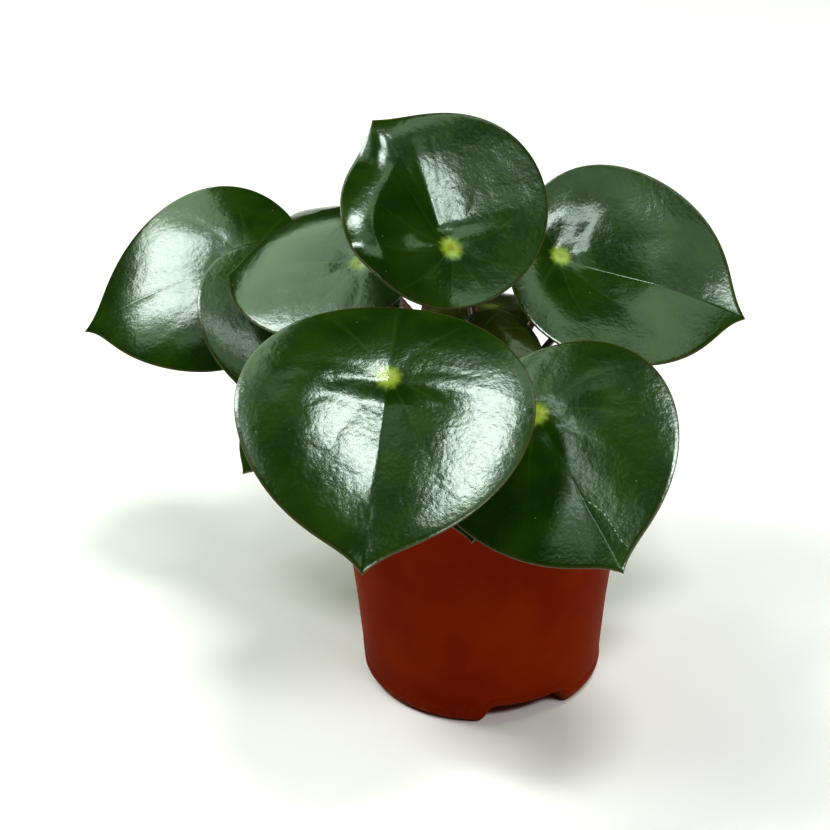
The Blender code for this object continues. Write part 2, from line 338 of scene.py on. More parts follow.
@dataclass(frozen=True)
class Scar:
    """A pale dry crack along a line of the flat blade, in millimetres from the stalk."""

    start: Pair
    end: Pair
    sway: float = 1.2
    sway_rate: float = 0.22  # radians a millimetre
    dash_rate: float = 3.1
    dash_share: float = -0.1  # a dash shows where its sine is above this

    def drawn(self, graph: Graph, flat: Socket, fine: Socket) -> Socket:
        """Draws the crack.

        Args:
            graph: the material's nodes.
            flat: the blade's flat coordinates.
            fine: a fine noise that breaks it up.

        Returns:
            1 on the crack.
        """
        start, end = Vector((*self.start, 0.0)), Vector((*self.end, 0.0))
        along = (end - start).normalized()
        away = graph.vector("SUBTRACT", flat, start)
        distance = graph.vector("DOT_PRODUCT", away, along)
        side = graph.vector("DOT_PRODUCT", away, (-along.y, along.x, 0.0))
        sway = graph.times(graph.math("SINE", graph.times(distance, self.sway_rate)), self.sway)
        line = graph.rise(graph.math("ABSOLUTE", graph.math("SUBTRACT", side, sway)), 0.12, 0.30, 1.0, 0.0)
        inside = graph.times(graph.math("GREATER_THAN", distance, 0.0),
                             graph.math("LESS_THAN", distance, (end - start).length))
        dash = graph.math("SINE", graph.times(distance, self.dash_rate))
        broken = graph.times(graph.math("GREATER_THAN", dash, self.dash_share), graph.rise(fine, 0.42, 0.52))
        return graph.times(graph.times(line, inside), broken)


@dataclass(frozen=True)
class UpperFinish:
    """The glossy upper face of a blade: leathery grain, sunk veins, a yellow-green spot over the stalk."""

    spot: Colour = (0.300, 0.400, 0.045)
    spot_middle: Colour = (0.260, 0.240, 0.040)
    spot_radius: float = 5.2
    spot_core: float = 0.30  # share of that radius inside which the spot is plain
    spot_ragged: float = 1.8  # millimetres over which its edge wanders
    bright_spot: float = 0.95
    # how much of the spot shows on SHADED blades: dimmed, as painted shade
    shaded_spot: float = 0.25
    middle_share: float = 0.75
    vein: Colour = (0.035, 0.095, 0.012)
    vein_share: float = 0.25
    vein_rest: float = 0.12  # what is left of the veins near the rim
    margin: Colour = (0.110, 0.075, 0.035)
    rim_share: float = 0.45
    speck: Colour = (0.300, 0.380, 0.250)
    speck_spacing: float = 5.0
    speck_rarity: float = 0.55
    speck_share: float = 0.45
    sheen: Colour = (0.86, 1.00, 0.93)
    roughness: float = 0.18
    roughness_width: float = 0.10
    mottle_size: float = 14.0
    wrinkle_size: float = 4.0
    wrinkle_depth: float = 0.09
    grain_size: float = 1.3
    grain_depth: float = 0.040
    fine_size: float = 0.5
    fine_depth: float = 0.006
    vein_depth: float = 0.02

    def material(self, age: LeafTone, scar: Scar | None = None) -> Material:
        """Builds the finish.

        Args:
            age: the blade's tone; SHADED is painted shade.
            scar: its crack, if it has one.

        Returns:
            The material.
        """
        graph = Graph(f"leaf_upper_{age.name.lower()}{'_scarred' if scar else ''}")
        place = BladeMap(graph)
        grain = graph.noise(self.grain_size)
        fine = graph.noise(self.fine_size, 1.0)
        shown = graph.times(graph.rise(place.radius, 3.0, 9.0),
                            graph.rise(place.radius, 12.0, 36.0, 1.0, self.vein_rest))

        green = graph.mottled(*age.value, self.mottle_size)
        vein = graph.times(graph.rise(place.off_vein, 0.15, 0.8, 1.0, 0.0), shown)
        green = graph.mix(graph.times(vein, self.vein_share), green, self.vein)
        green = self._spotted(graph, place, green, grain, age)
        green = graph.mix(self._specks(graph), green, self.speck)
        if scar is not None:
            green = graph.mix(scar.drawn(graph, place.flat, fine), green, self.speck)
        share = graph.node("Attribute", attribute_name="share").outputs["Fac"]
        green = graph.mix(graph.rise(share, 0.985, 0.999, 0.0, self.rim_share), green, self.margin)

        groove = graph.times(graph.rise(place.off_vein, 0.0, 2.4, 1.0, 0.0), shown)
        normal = graph.bump(graph.noise(self.wrinkle_size), self.wrinkle_depth)
        normal = graph.bump(grain, self.grain_depth, normal)
        normal = graph.bump(fine, self.fine_depth, normal)
        normal = graph.bump(graph.math("SUBTRACT", 1.0, groove), self.vein_depth, normal)
        graph.shader.inputs["Specular Tint"].default_value = (*self.sheen, 1.0)
        return graph.dress(green, graph.spread(self.roughness, self.roughness_width, grain), normal)

    def _spotted(self, graph: Graph, place: BladeMap, green: Socket, grain: Socket, age: LeafTone) -> Socket:
        """Lays the spot over the stalk, with rays along the veins and a brown middle.

        Args:
            graph: the material's nodes.
            place: the blade's map.
            green: the colour under it.
            grain: the noise that makes its edge ragged.
            age: the blade's tone; on SHADED blades the spot is painted dimmer, as painted shade.

        Returns:
            The colour.
        """
        # On SHADED blades the spot is painted dimmer, as painted shade.
        strength = self.shaded_spot if age is LeafTone.SHADED else self.bright_spot
        rays = graph.times(place.radius, graph.math("MULTIPLY_ADD", place.between, 0.12, 0.92))
        ragged = graph.math("ADD", rays, graph.spread(0.0, self.spot_ragged, grain))
        spot = graph.rise(ragged, self.spot_radius * self.spot_core, self.spot_radius, strength, 0.0)
        middle = graph.rise(place.radius, 0.4, 2.0, self.middle_share * strength, 0.0)
        return graph.mix(middle, graph.mix(spot, green, self.spot), self.spot_middle)

    def _specks(self, graph: Graph) -> Socket:
        """Strews small pale specks.

        Args:
            graph: the material's nodes.

        Returns:
            How much of their colour shows.
        """
        cells = graph.node("TexVoronoi", graph.node("TexCoord").outputs["Object"], feature="F1")
        cells.inputs["Scale"].default_value = 1.0 / (self.speck_spacing * MM)
        pick = graph.node("SeparateColor", cells.outputs["Color"]).outputs[0]
        picked = graph.math("GREATER_THAN", pick, self.speck_rarity)
        dot = graph.times(graph.rise(cells.outputs["Distance"], 0.03, 0.06, 1.0, 0.0), picked)
        return graph.times(dot, self.speck_share)


@dataclass(frozen=True)
class UnderFinish:
    """The dull, paler lower face of a blade, with raised veins."""

    green: Colour = (0.075, 0.130, 0.045)
    light: Colour = (0.120, 0.180, 0.075)
    stalk_end: Colour = (0.130, 0.075, 0.040)
    roughness: float = 0.48
    roughness_width: float = 0.12
    mottle_size: float = 10.0
    vein_share: float = 0.6
    vein_depth: float = 0.15
    grain_size: float = 1.2
    grain_depth: float = 0.03

    def material(self) -> Material:
        """Builds the finish.

        Returns:
            The material.
        """
        graph = Graph("leaf_under")
        place = BladeMap(graph)
        vein = graph.times(graph.rise(place.off_vein, 0.2, 1.2, 1.0, 0.0),
                           graph.rise(place.radius, 2.0, 40.0, 1.0, 0.2))
        grain = graph.noise(self.grain_size, 3.0)
        green = graph.mottled(self.green, self.light, self.mottle_size)
        green = graph.mix(graph.times(vein, self.vein_share), green, self.light)
        green = graph.mix(graph.rise(place.radius, 2.5, 9.0, 0.8, 0.0), green, self.stalk_end)
        normal = graph.bump(vein, self.vein_depth, graph.bump(grain, self.grain_depth))
        return graph.dress(green, graph.spread(self.roughness, self.roughness_width, grain), normal)


@dataclass(frozen=True)
class StalkFinish:
    """Smooth, dark maroon stem and stalks with faint pale flecks."""

    dark: Colour = (0.045, 0.011, 0.007)
    red: Colour = (0.110, 0.026, 0.014)
    fleck: Colour = (0.190, 0.110, 0.060)
    fleck_share: float = 0.35
    roughness: float = 0.34

    def material(self) -> Material:
        """Builds the finish.

        Returns:
            The material.
        """
        graph = Graph("stalk_maroon")
        tone = graph.mottled(self.dark, self.red, 7.0)
        flecks = graph.rise(graph.noise(0.9, 1.0), 0.62, 0.72)
        tone = graph.mix(graph.times(flecks, self.fleck_share), tone, self.fleck)
        return graph.dress(tone, self.roughness, graph.bump(graph.noise(1.4), 0.05))


@dataclass(frozen=True)
class PotFinish:
    """Formed orange-brown plastic sheet: satin, faintly uneven, with a little dust and fine scuffs."""

    orange: Colour = (0.222, 0.0225, 0.0008)
    deep: Colour = (0.184, 0.0150, 0.0005)
    dust: Colour = (0.230, 0.080, 0.030)
    dust_height: float = 9.0
    dust_share: float = 0.35
    scuff_share: float = 0.06
    scuff_dullness: float = 0.08
    roughness: float = 0.46
    roughness_width: float = 0.16
    gloss: float = 0.015

    def material(self) -> Material:
        """Builds the finish.

        Returns:
            The material.
        """
        graph = Graph("pot_plastic")
        tone = graph.mottled(self.deep, self.orange, 28.0)
        height = graph.node("SeparateXYZ", graph.node("TexCoord").outputs["Object"]).outputs["Z"]
        low = graph.rise(height, 1.0 * MM, self.dust_height * MM, self.dust_share, 0.0)
        tone = graph.mix(graph.times(low, graph.rise(graph.noise(2.5, 4.0), 0.45, 0.7)), tone, self.dust)
        scuffs = graph.rise(graph.noise(3.0, 3.0, (1.0, 1.0, 9.0)), 0.60, 0.75)
        tone = graph.mix(graph.times(scuffs, self.scuff_share), tone, self.dust)
        dull = graph.spread(self.roughness, self.roughness_width, graph.noise(6.0, 3.0))
        dull = graph.math("MULTIPLY_ADD", scuffs, self.scuff_dullness, dull)
        normal = graph.bump(graph.noise(0.7), 0.012, graph.bump(graph.noise(9.0), 0.10))
        graph.shader.inputs["Specular IOR Level"].default_value = self.gloss
        return graph.dress(tone, dull, normal)


@dataclass(frozen=True)
class PeatFinish:
    """Moist dark potting mix, from near black to brown."""

    dark: Colour = (0.012, 0.007, 0.004)
    brown: Colour = (0.060, 0.032, 0.017)
    straw: Colour = (0.160, 0.095, 0.050)
    straw_share: float = 0.7
    roughness: float = 0.92

    def material(self) -> Material:
        """Builds the finish.

        Returns:
            The material.
        """
        graph = Graph("peat")
        tone = graph.mottled(self.dark, self.brown, 2.2, 4.0, 0.12)
        tone = graph.mix(graph.rise(graph.noise(1.1), 0.66, 0.74, 0.0, self.straw_share), tone, self.straw)
        return graph.dress(tone, self.roughness, graph.bump(graph.noise(1.6, 4.0), 0.5))


@dataclass(frozen=True)
class Crease:
    """A shallow valley that runs from the stalk towards the rim."""

    depth: float
    width: float = 14.0
    reach: float = 60.0
    heading: float = 0.0  # degrees from the midrib, to the left
    blunt: float = 0.7  # radius at its bottom

    def drop(self, x: float, y: float) -> float:
        """Reads how deep the valley is.

        Args:
            x: millimetres from the stalk towards the tip.
            y: millimetres to the left.

        Returns:
            Millimetres.
        """
        turn = math.radians(self.heading)
        along = x * math.cos(turn) + y * math.sin(turn)
        across = y * math.cos(turn) - x * math.sin(turn)
        if along <= 0.0:
            return 0.0
        fade = smooth_step(1.0, 9.0, along) * math.exp(-((along / self.reach) ** 4))
        return self.depth * fade * math.exp(-math.hypot(across, self.blunt) / self.width)


@dataclass(frozen=True)
class Blade:
    """A leaf blade: where its stalk meets it, how it lies and how it curves."""

    name: str
    at: Colour  # where the stalk meets the blade
    heading: float  # from the stalk to the tip, seen from above, anticlockwise from +X
    pitch: float  # tip down
    roll: float  # left side up, looking towards the tip
    length: float
    width: float
    foot: Pair  # heading and height where its stalk leaves the stem
    stalk: float = 0.27  # share of the length behind the stalk
    drip: float = 0.09  # share of the length that is drip tip
    taper: float = 0.16  # how much narrower the front half is than the back half
    droop: float = 4.0  # fall of the rim all round
    droop_power: float = 2.2
    fold: float = 2.0  # rise of both sides
    fold_power: float = 1.3
    tip_bend: float = 4.0
    curl_left: float = 0.0  # fall of the left side
    curl_right: float = 0.0
    curl_from: float = 0.35  # share of the half width where the curl starts
    curl_power: float = 2.0
    wave: float = 1.0
    waves: int = 3
    rise: float = 0.40  # share of the way that the stalk goes on before it bends
    climb: float = 0.66  # how steeply it sets out
    reach: float = 0.35  # and that it comes straight up under the blade
    # its tone; SHADED paints shade onto blades deep inside the plant
    age: LeafTone = LeafTone.MATURE
    creases: tuple[Crease, ...] = (Crease(0.4),)
    navel: Pair = (0.8, 6.0)  # depth and radius of the dimple over the stalk
    aside: float = 0.0  # how far the blade's middle lies to the left of its stalk
    rim_roll: float = 0.0  # how far a stretch of the left rim is rolled under
    rim_pull: float = 0.0  # and drawn in
    rim_from: float = 0.72
    rim_power: float = 1.3
    rim_turns: Pair = (10.0, 90.0)
    scar: Scar | None = None
    thickness: float = 1.0
    rim_thinning: float = 0.2  # share of the thickness that the rim lacks
    rim_bulge: float = 0.30
    rim_steps: int = 6
    pillow: float = 0.003  # height of the swellings between veins, as a share of the distance from the stalk
    undulation: float = 0.08
    undulation_size: float = 10.0
    tip_sharpness: float = 0.17
    tip_crowding: float = 1.25
    rings: int = 34
    ring_crowding: float = 0.92
    under_rings: int = 14
    steps: int = 132

    def matrix(self) -> Matrix:
        """Returns the blade's own axes: X to the tip, Z out of its upper face, in millimetres."""
        heading, pitch, roll = (math.radians(v) for v in (self.heading, self.pitch, self.roll))
        turned = (Matrix.Rotation(heading, 4, "Z") @ Matrix.Rotation(pitch, 4, "Y")
                  @ Matrix.Rotation(roll, 4, "X"))
        return Matrix.Translation(self.at) @ turned

    def stretch(self, turn: float) -> float:
        """Returns 1 where the rim is rolled under, at a turn in radians from the tip."""
        degrees, (start, end) = math.degrees(turn), self.rim_turns
        return smooth_step(start - 12.0, start + 12.0, degrees) - smooth_step(end - 15.0, end + 15.0, degrees)

    def flat(self, share: float, turn: float) -> Pair:
        """Finds a point of the blade laid flat.

        Args:
            share: of the way from the stalk to the rim.
            turn: radians round the stalk, from the tip.

        Returns:
            Millimetres towards the tip and to the left.
        """
        drip = self.drip * self.length
        back = self.stalk * self.length
        front = self.length - back - drip
        tip = drip * math.exp(-abs(turn) / self.tip_sharpness)
        x = (front - back) / 2 + (front + back) / 2 * math.cos(turn) + tip
        y = self.width / 2 * math.sin(turn) * (1 - self.taper * math.cos(turn))
        pulled = 1.0 - self.rim_pull / self.width * 2 * self.stretch(turn) * share**3
        return x * share * pulled, (y + self.aside) * share * pulled

    def surface(self, share: float, turn: float) -> Vector:
        """Finds a point of the upper face.

        Args:
            share: of the way from the stalk to the rim.
            turn: radians round the stalk, from the tip.

        Returns:
            Millimetres in the blade's own axes.
        """
        x, y = self.flat(share, turn)
        half = self.width / 2
        side = abs(y - self.aside * share) / half
        curl = self.curl_left if y > 0 else self.curl_right
        z = self.fold * side**self.fold_power - self.droop * share**self.droop_power
        z -= curl * (max(0.0, side - self.curl_from) / (1.0 - self.curl_from)) ** self.curl_power
        if x > 0:
            z -= self.tip_bend * (x / (self.length * (1 - self.stalk))) ** 4
        z += self.wave * share**3 * math.sin(self.waves * turn)
        z -= self.navel[0] * math.exp(-((share * half / self.navel[1]) ** 2))
        place = Vector((x, y, 0.0)) / self.undulation_size + Vector(self.at)
        z += self.undulation * noise.noise(place) * smooth_step(0.05, 0.3, share) * (1.0 - share**6)
        radius = math.hypot(x, y)
        between = VEINS.between(radius, math.atan2(y, x))
        swell = self.pillow * radius * smooth_step(3.0, 12.0, radius) * (1.0 - share**4)
        z += swell * (between**1.1 - 0.5)
        z -= sum(crease.drop(x, y) for crease in self.creases) * (1.0 - smooth_step(0.75, 1.0, share))
        rolled = max(0.0, share - self.rim_from) / (1.0 - self.rim_from)
        z -= self.rim_roll * self.stretch(turn) * rolled**self.rim_power
        return Vector((x, y, z))

    def _skin(self, share: float, turn: float, depth: float, bulge: float) -> Vector:
        """Finds a point of the blade's skin.

        Args:
            share: of the way from the stalk to the rim.
            turn: radians round the stalk, from the tip.
            depth: the share of the thickness below the upper face.
            bulge: millimetres that it stands out of the rim.

        Returns:
            Millimetres in the blade's own axes.
        """
        centre, nudge, nudge_turn = 0.02, 0.004, 0.01
        inside = max(share, centre)
        out = self.surface(inside + nudge, turn) - self.surface(inside - nudge, turn)
        round_it = self.surface(inside, turn + nudge_turn) - self.surface(inside, turn - nudge_turn)
        normal = out.cross(round_it).normalized()
        if share < centre:
            normal = Vector((0.0, 0.0, 1.0))
        thick = self.thickness * (1.0 - self.rim_thinning * smooth_step(0.6, 1.0, share))
        return self.surface(share, turn) - normal * thick * depth + out.normalized() * bulge

    def build(self, upper: Material, under: Material) -> Object:
        """Spins a closed disc of radius 1, from its upper face to its lower, and shapes it by formula.

        Args:
            upper: the material of the upper face and rim.
            under: the material of the lower face.

        Returns:
            The piece.
        """
        bulge_unit = 100.0  # the disc's rim stands out by this fraction of its bulge
        angles = [math.pi * i / self.rim_steps for i in range(1, self.rim_steps)]
        row = [((i / self.rings) ** self.ring_crowding, 0.0) for i in range(self.rings + 1)]
        row += [(1.0 + self.rim_bulge * math.sin(a) / bulge_unit, -(1.0 - math.cos(a)) / 2.0) for a in angles]
        row += [(1.0 - i / self.under_rings, -1.0) for i in range(self.under_rings + 1)]
        bm = lathe(row, self.steps, 1.0, 1e-5)
        for face in bm.faces:
            face.material_index = 1 if face.calc_center_median().z < -0.75 else 0
        share_of = bm.verts.layers.float.new("share")
        uv = bm.loops.layers.uv.new("blade")
        flats = {}
        matrix = self.matrix()
        for vert in bm.verts:
            radius, depth = vert.co.xy.length, -vert.co.z
            even = math.atan2(vert.co.y, vert.co.x) / math.pi
            turn = math.copysign(abs(even) ** self.tip_crowding, even) * math.pi
            share = min(1.0, radius)
            flats[vert] = self.flat(share, turn)
            vert[share_of] = share
            vert.co = (matrix @ self._skin(share, turn, depth, max(0.0, radius - 1.0) * bulge_unit)) * MM
        for face in bm.faces:
            for loop in face.loops:
                x, y = flats[loop.vert]
                loop[uv].uv = (0.5 + x / UV_SPAN, 0.5 + y / UV_SPAN)
        return piece(f"blade_{self.name}", bm, self.name, "leaf_green", upper, under)


BLADES = (
    Blade("leaf_top", (-10, -4, 160), 150, -51, -22, 71, 81, foot=(170, 100), stalk=0.30, drip=0.07,
          taper=0.0, droop=-2, fold=0, tip_bend=8, curl_left=-5, wave=0, rise=0.55, climb=0.2, aside=-6.2,
          creases=(Crease(0.4, 5.0), Crease(3.0, 14.0, 34.0, -17.0)), rim_roll=6.0, rim_pull=2.0),
    Blade("leaf_right_high", (31, 42, 143), -8, 18, 35, 89, 83, foot=(45, 100), stalk=0.21, taper=0.09,
          droop=0, fold=0, tip_bend=3.5, curl_left=-6, curl_right=-2.5, curl_from=0.0, curl_power=1.1,
          creases=(Crease(1.5, 16.0, 30.0, 0.0, 2.0),), navel=(3.6, 18.0)),
    Blade("leaf_left_far", (-87, 72, 132), 186, 16, -33, 92, 84, foot=(160, 90), stalk=0.26, taper=0.18,
          droop=6.5, fold=3, tip_bend=5, curl_left=1),
    Blade("leaf_left_high", (-41, 17, 149), 160, 6, -29, 74, 66, foot=(150, 100), stalk=0.28, drip=0.05,
          taper=0.16, droop=3, fold=1, curl_left=-1, curl_right=5, reach=0.2),
    Blade("leaf_left_mid", (-61, 50, 133), 245, 29, -8, 76, 75, foot=(150, 94)),
    Blade("leaf_front", (-31, -54, 136), -98, 33, -6, 93, 89, foot=(-135, 97), stalk=0.30, taper=0.17,
          droop=3.0, droop_power=3.4, tip_bend=0, curl_left=-0.4, curl_right=2.4, navel=(0.3, 6.0),
          creases=(Crease(1.9, 16.0, 52.0),)),
    Blade("leaf_front_right", (15, -41, 117), -67, 27, 34.5, 86, 78, foot=(-55, 93), stalk=0.28,
          fold=4, tip_bend=-3, curl_left=7, curl_right=-2, curl_from=0.0, curl_power=1.0,
          creases=(Crease(0.9, 12.0, 42.0),), scar=Scar((34.0, 0.0), (55.0, 6.0))),
    # leaf_inner takes the SHADED tone, which paints the shade deep inside the plant.
    Blade("leaf_inner", (-1, 9, 124), -40, 22, 16, 40, 38, foot=(140, 105), age=LeafTone.SHADED),
    Blade("leaf_back_left", (-40, 98, 143), 100, 9, 0, 70, 60, foot=(112, 96)),
    Blade("leaf_left_low", (-46, -14, 115), 215, 15, 0, 60, 58, foot=(-160, 90), drip=0.05),
    Blade("leaf_back_right", (44, 76, 128), 45, 12, 0, 78, 72, foot=(60, 93), rise=0.25),
    Blade("leaf_back_high", (-8, 92, 152), 92, 8, 0, 74, 70, foot=(90, 103), climb=0.95),
    Blade("leaf_front_low", (0, -39, 102), -104, 31, 8, 44, 38, foot=(-85, 88), droop=1, tip_bend=0,
          reach=0.25),
    Blade("leaf_right_low", (38, 5, 103), -5, 15, 0, 46, 46, foot=(5, 90), reach=0.25),
    # leaf_back_low takes the SHADED tone, which paints the shade deep inside the plant.
    Blade("leaf_back_low", (5, 50, 120), 80, 2, 0, 52, 50, foot=(75, 90), reach=0.3, age=LeafTone.SHADED),
    Blade("leaf_back_left_low", (-34, 66, 104), 128, 8, 0, 62, 58, foot=(125, 89), reach=0.3),
    Blade("leaf_young", (21, 13, 109), 20, -5, 0, 20, 17, foot=(28, 100), droop=-1, fold=3, tip_bend=-1,
          age=LeafTone.YOUNG),
)


@dataclass(frozen=True)
class Stem:
    """The short stem with every stalk grown from it, as one body."""

    outside: Profile = (
        (0.0, 115.4), (1.6, 115.0), (3.4, 114.0), (4.8, 112.4), (5.3, 111.0), (5.7, 109.0), (6.2, 107.2),
        (6.0, 106.0), (6.4, 103.0), (7.0, 100.6), (6.8, 99.4), (7.2, 96.0), (7.8, 93.4), (7.6, 92.0),
        (8.0, 88.0), (8.0, 56.0), (0.0, 56.0),
    )
    steps: int = 40
    root_radius: float = 3.0  # how far from the stem's axis a stalk starts
    lean: float = 0.75  # how far outwards it sets out
    stalk_radius: float = 1.7
    foot_swell: float = 1.30  # its radius at the stem, as a share of that
    foot_taper: float = 0.40  # and what it has lost of it halfway up
    end_flare: float = 1.1
    flare_length: float = 3.5
    bite: float = 0.1  # how far its end reaches into the blade
    pieces: int = 26
    voxel: float = 0.55
    smoothing: int = 6

    def line(self, blade: Blade) -> list[tuple[Vector, float]]:
        """Finds the middle line of a stalk.

        Args:
            blade: the blade that it carries.

        Returns:
            Points in millimetres with the radius at each.
        """
        up = blade.matrix().to_3x3() @ Vector((0, 0, 1))
        turn, height = math.radians(blade.foot[0]), blade.foot[1]
        out = Vector((math.cos(turn), math.sin(turn), 0.0))
        start = out * self.root_radius + Vector((0, 0, height))
        end = Vector(blade.at) - up * (blade.navel[0] + blade.thickness - self.bite)
        far = (end - start).length
        first = start + (out * self.lean + Vector((0, 0, blade.climb))) * far * blade.rise
        second = end - up * far * blade.reach
        points = []
        for i in range(self.pieces + 1):
            t = i / self.pieces
            s = 1 - t
            place = start * s**3 + first * 3 * s * s * t + second * 3 * s * t * t + end * t**3
            radius = self.stalk_radius * (self.foot_swell - self.foot_taper * smooth_step(0.0, 0.5, t))
            radius += self.end_flare * smooth_step(far - self.flare_length, far, far * t)
            points.append((place, radius))
        return points

    def stalk(self, blade: Blade) -> Mesh:
        """Draws a stalk as a tapered tube.

        Args:
            blade: the blade that it carries.

        Returns:
            Its closed mesh.
        """
        curve = bpy.data.curves.new("stalk_line", "CURVE")
        curve.dimensions = "3D"
        curve.bevel_depth = MM
        curve.bevel_resolution = 4
        curve.use_fill_caps = True
        line = curve.splines.new("POLY")
        points = self.line(blade)
        line.points.add(len(points) - 1)
        for slot, (place, radius) in zip(line.points, points):
            slot.co = (*(place * MM), 1.0)
            slot.radius = radius
        return baked(linked("stalk_line", curve))

    def build(self, finish: StalkFinish) -> Object:
        """Fuses stem and stalks, with soft joints between them.

        Args:
            finish: its finish.

        Returns:
            The piece.
        """
        bm = lathe(self.outside, self.steps)
        for blade in BLADES:
            mesh = self.stalk(blade)
            bm.from_mesh(mesh)
            bpy.data.meshes.remove(mesh)
        bmesh.ops.remove_doubles(bm, verts=bm.verts, dist=0.005 * MM)
        fused = linked("stem_fused", bm)
        voxels = fused.modifiers.new("fuse", "REMESH")
        voxels.mode = "VOXEL"
        voxels.voxel_size = self.voxel * MM
        soften = fused.modifiers.new("soften", "SMOOTH")
        soften.iterations = self.smoothing
        soften.factor = 0.5
        return piece("stem_and_stalks", baked(fused), "stem", "maroon_stem", finish.material())


@dataclass(frozen=True)
class Pot:
    """The formed pot: a turned shell, its foot raised in three recesses with a drain hole in each."""

    outside: Profile = (
        (50.9, 88.0), (52.6, 88.0), (53.2, 87.8), (53.5, 87.2), (53.5, 85.2), (53.3, 84.7), (52.8, 84.4),
        (51.4, 84.1), (51.05, 83.6), (50.9, 82.6), (49.4, 70.0), (48.3, 60.0), (47.2, 50.0), (46.1, 40.0),
        (45.0, 30.0), (44.2, 20.0), (43.6, 12.0), (43.3, 7.0), (43.2, 6.1), (43.45, 5.6), (43.5, 5.0),
        (43.3, 3.6), (42.9, 2.4), (42.1, 1.2), (41.2, 0.4), (40.0, 0.0), (36.0, 0.0), (33.0, 0.0),
        (30.0, 0.0), (27.0, 0.0), (25.5, 0.0), (24.0, 0.0), (12.0, 0.0), (0.0, 0.0),
    )
    inside: Profile = (
        (0.0, 1.4), (12.0, 1.4), (22.8, 1.4), (24.4, 1.4), (26.0, 1.4), (30.0, 1.4), (33.0, 1.4),
        (36.0, 1.4), (39.0, 1.4), (40.4, 2.0), (41.4, 3.2), (42.0, 5.0), (42.2, 8.0), (42.4, 12.0),
        (43.1, 22.0), (43.8, 30.0), (46.0, 50.0), (48.2, 70.0), (49.5, 81.0), (49.9, 84.6), (50.3, 87.2),
        (50.6, 87.8), (50.9, 88.0),
    )
    steps: int = 192
    sharp_angle: float = 50.0
    recesses: int = 3
    recess_first: float = -70.0  # heading of the first
    recess_apart: float = 120.0
    recess_span: float = 47.0
    recess_height: float = 5.8
    recess_end: float = 7.0
    recess_inner: float = 24.0
    fade_heights: Pair = (1.5, 15.0)  # the recesses fade out between these heights
    drain_radius: float = 33.0
    drain_diameter: float = 7.0
    drain_middle: float = 6.0
    drain_depth: float = 14.0

    def lift(self, x: float, y: float, height: float) -> float:
        """Finds how far a recess raises a point of the foot.

        Args:
            x: millimetres along X.
            y: millimetres along Y.
            height: the point's height before it is raised.

        Returns:
            Millimetres upwards.
        """
        heading = math.degrees(math.atan2(y, x))
        most = 0.0
        for number in range(self.recesses):
            turn = (heading - self.recess_first - self.recess_apart * number + 180.0) % 360.0 - 180.0
            most = max(most, smooth_step(0.0, self.recess_end, self.recess_span / 2 - abs(turn)))
        ramp = smooth_step(self.recess_inner - 0.5, self.recess_inner + 2.5, math.hypot(x, y))
        return self.recess_height * most * ramp * (1.0 - smooth_step(*self.fade_heights, height))

    def build(self, finish: PotFinish) -> Object:
        """Turns the shell, raises its recesses and cuts the drain holes.

        Args:
            finish: its finish.

        Returns:
            The piece.
        """
        bm = lathe(self.outside + self.inside, self.steps)
        for vert in bm.verts:
            x, y, z = vert.co / MM
            vert.co.z += self.lift(x, y, z) * MM
        shell = linked("pot_shell", bm)
        cutters = [self._drain(number) for number in range(self.recesses)]
        for cutter in cutters:
            cut = shell.modifiers.new(cutter.name, "BOOLEAN")
            cut.operation = "DIFFERENCE"
            cut.solver = "EXACT"
            cut.object = cutter
        made = piece("nursery_pot", baked(shell), "pot", "terracotta_plastic", finish.material())
        for cutter in cutters:
            bpy.data.objects.remove(cutter)
        made.data.set_sharp_from_angle(angle=math.radians(self.sharp_angle))
        return made

    def _drain(self, number: int) -> Object:
        """Makes the cutter of a drain hole.

        Args:
            number: which recess it is in.

        Returns:
            The cutter.
        """
        turn = math.radians(self.recess_first + self.recess_apart * number)
        place = Vector((self.drain_radius * math.cos(turn), self.drain_radius * math.sin(turn),
                        self.drain_middle)) * MM
        radius = self.drain_diameter / 2 * MM
        bm = bmesh.new()
        bmesh.ops.create_cone(bm, cap_ends=True, segments=48, radius1=radius, radius2=radius,
                              depth=self.drain_depth * MM, matrix=Matrix.Translation(place))
        return linked(f"drain_{number}", bm)


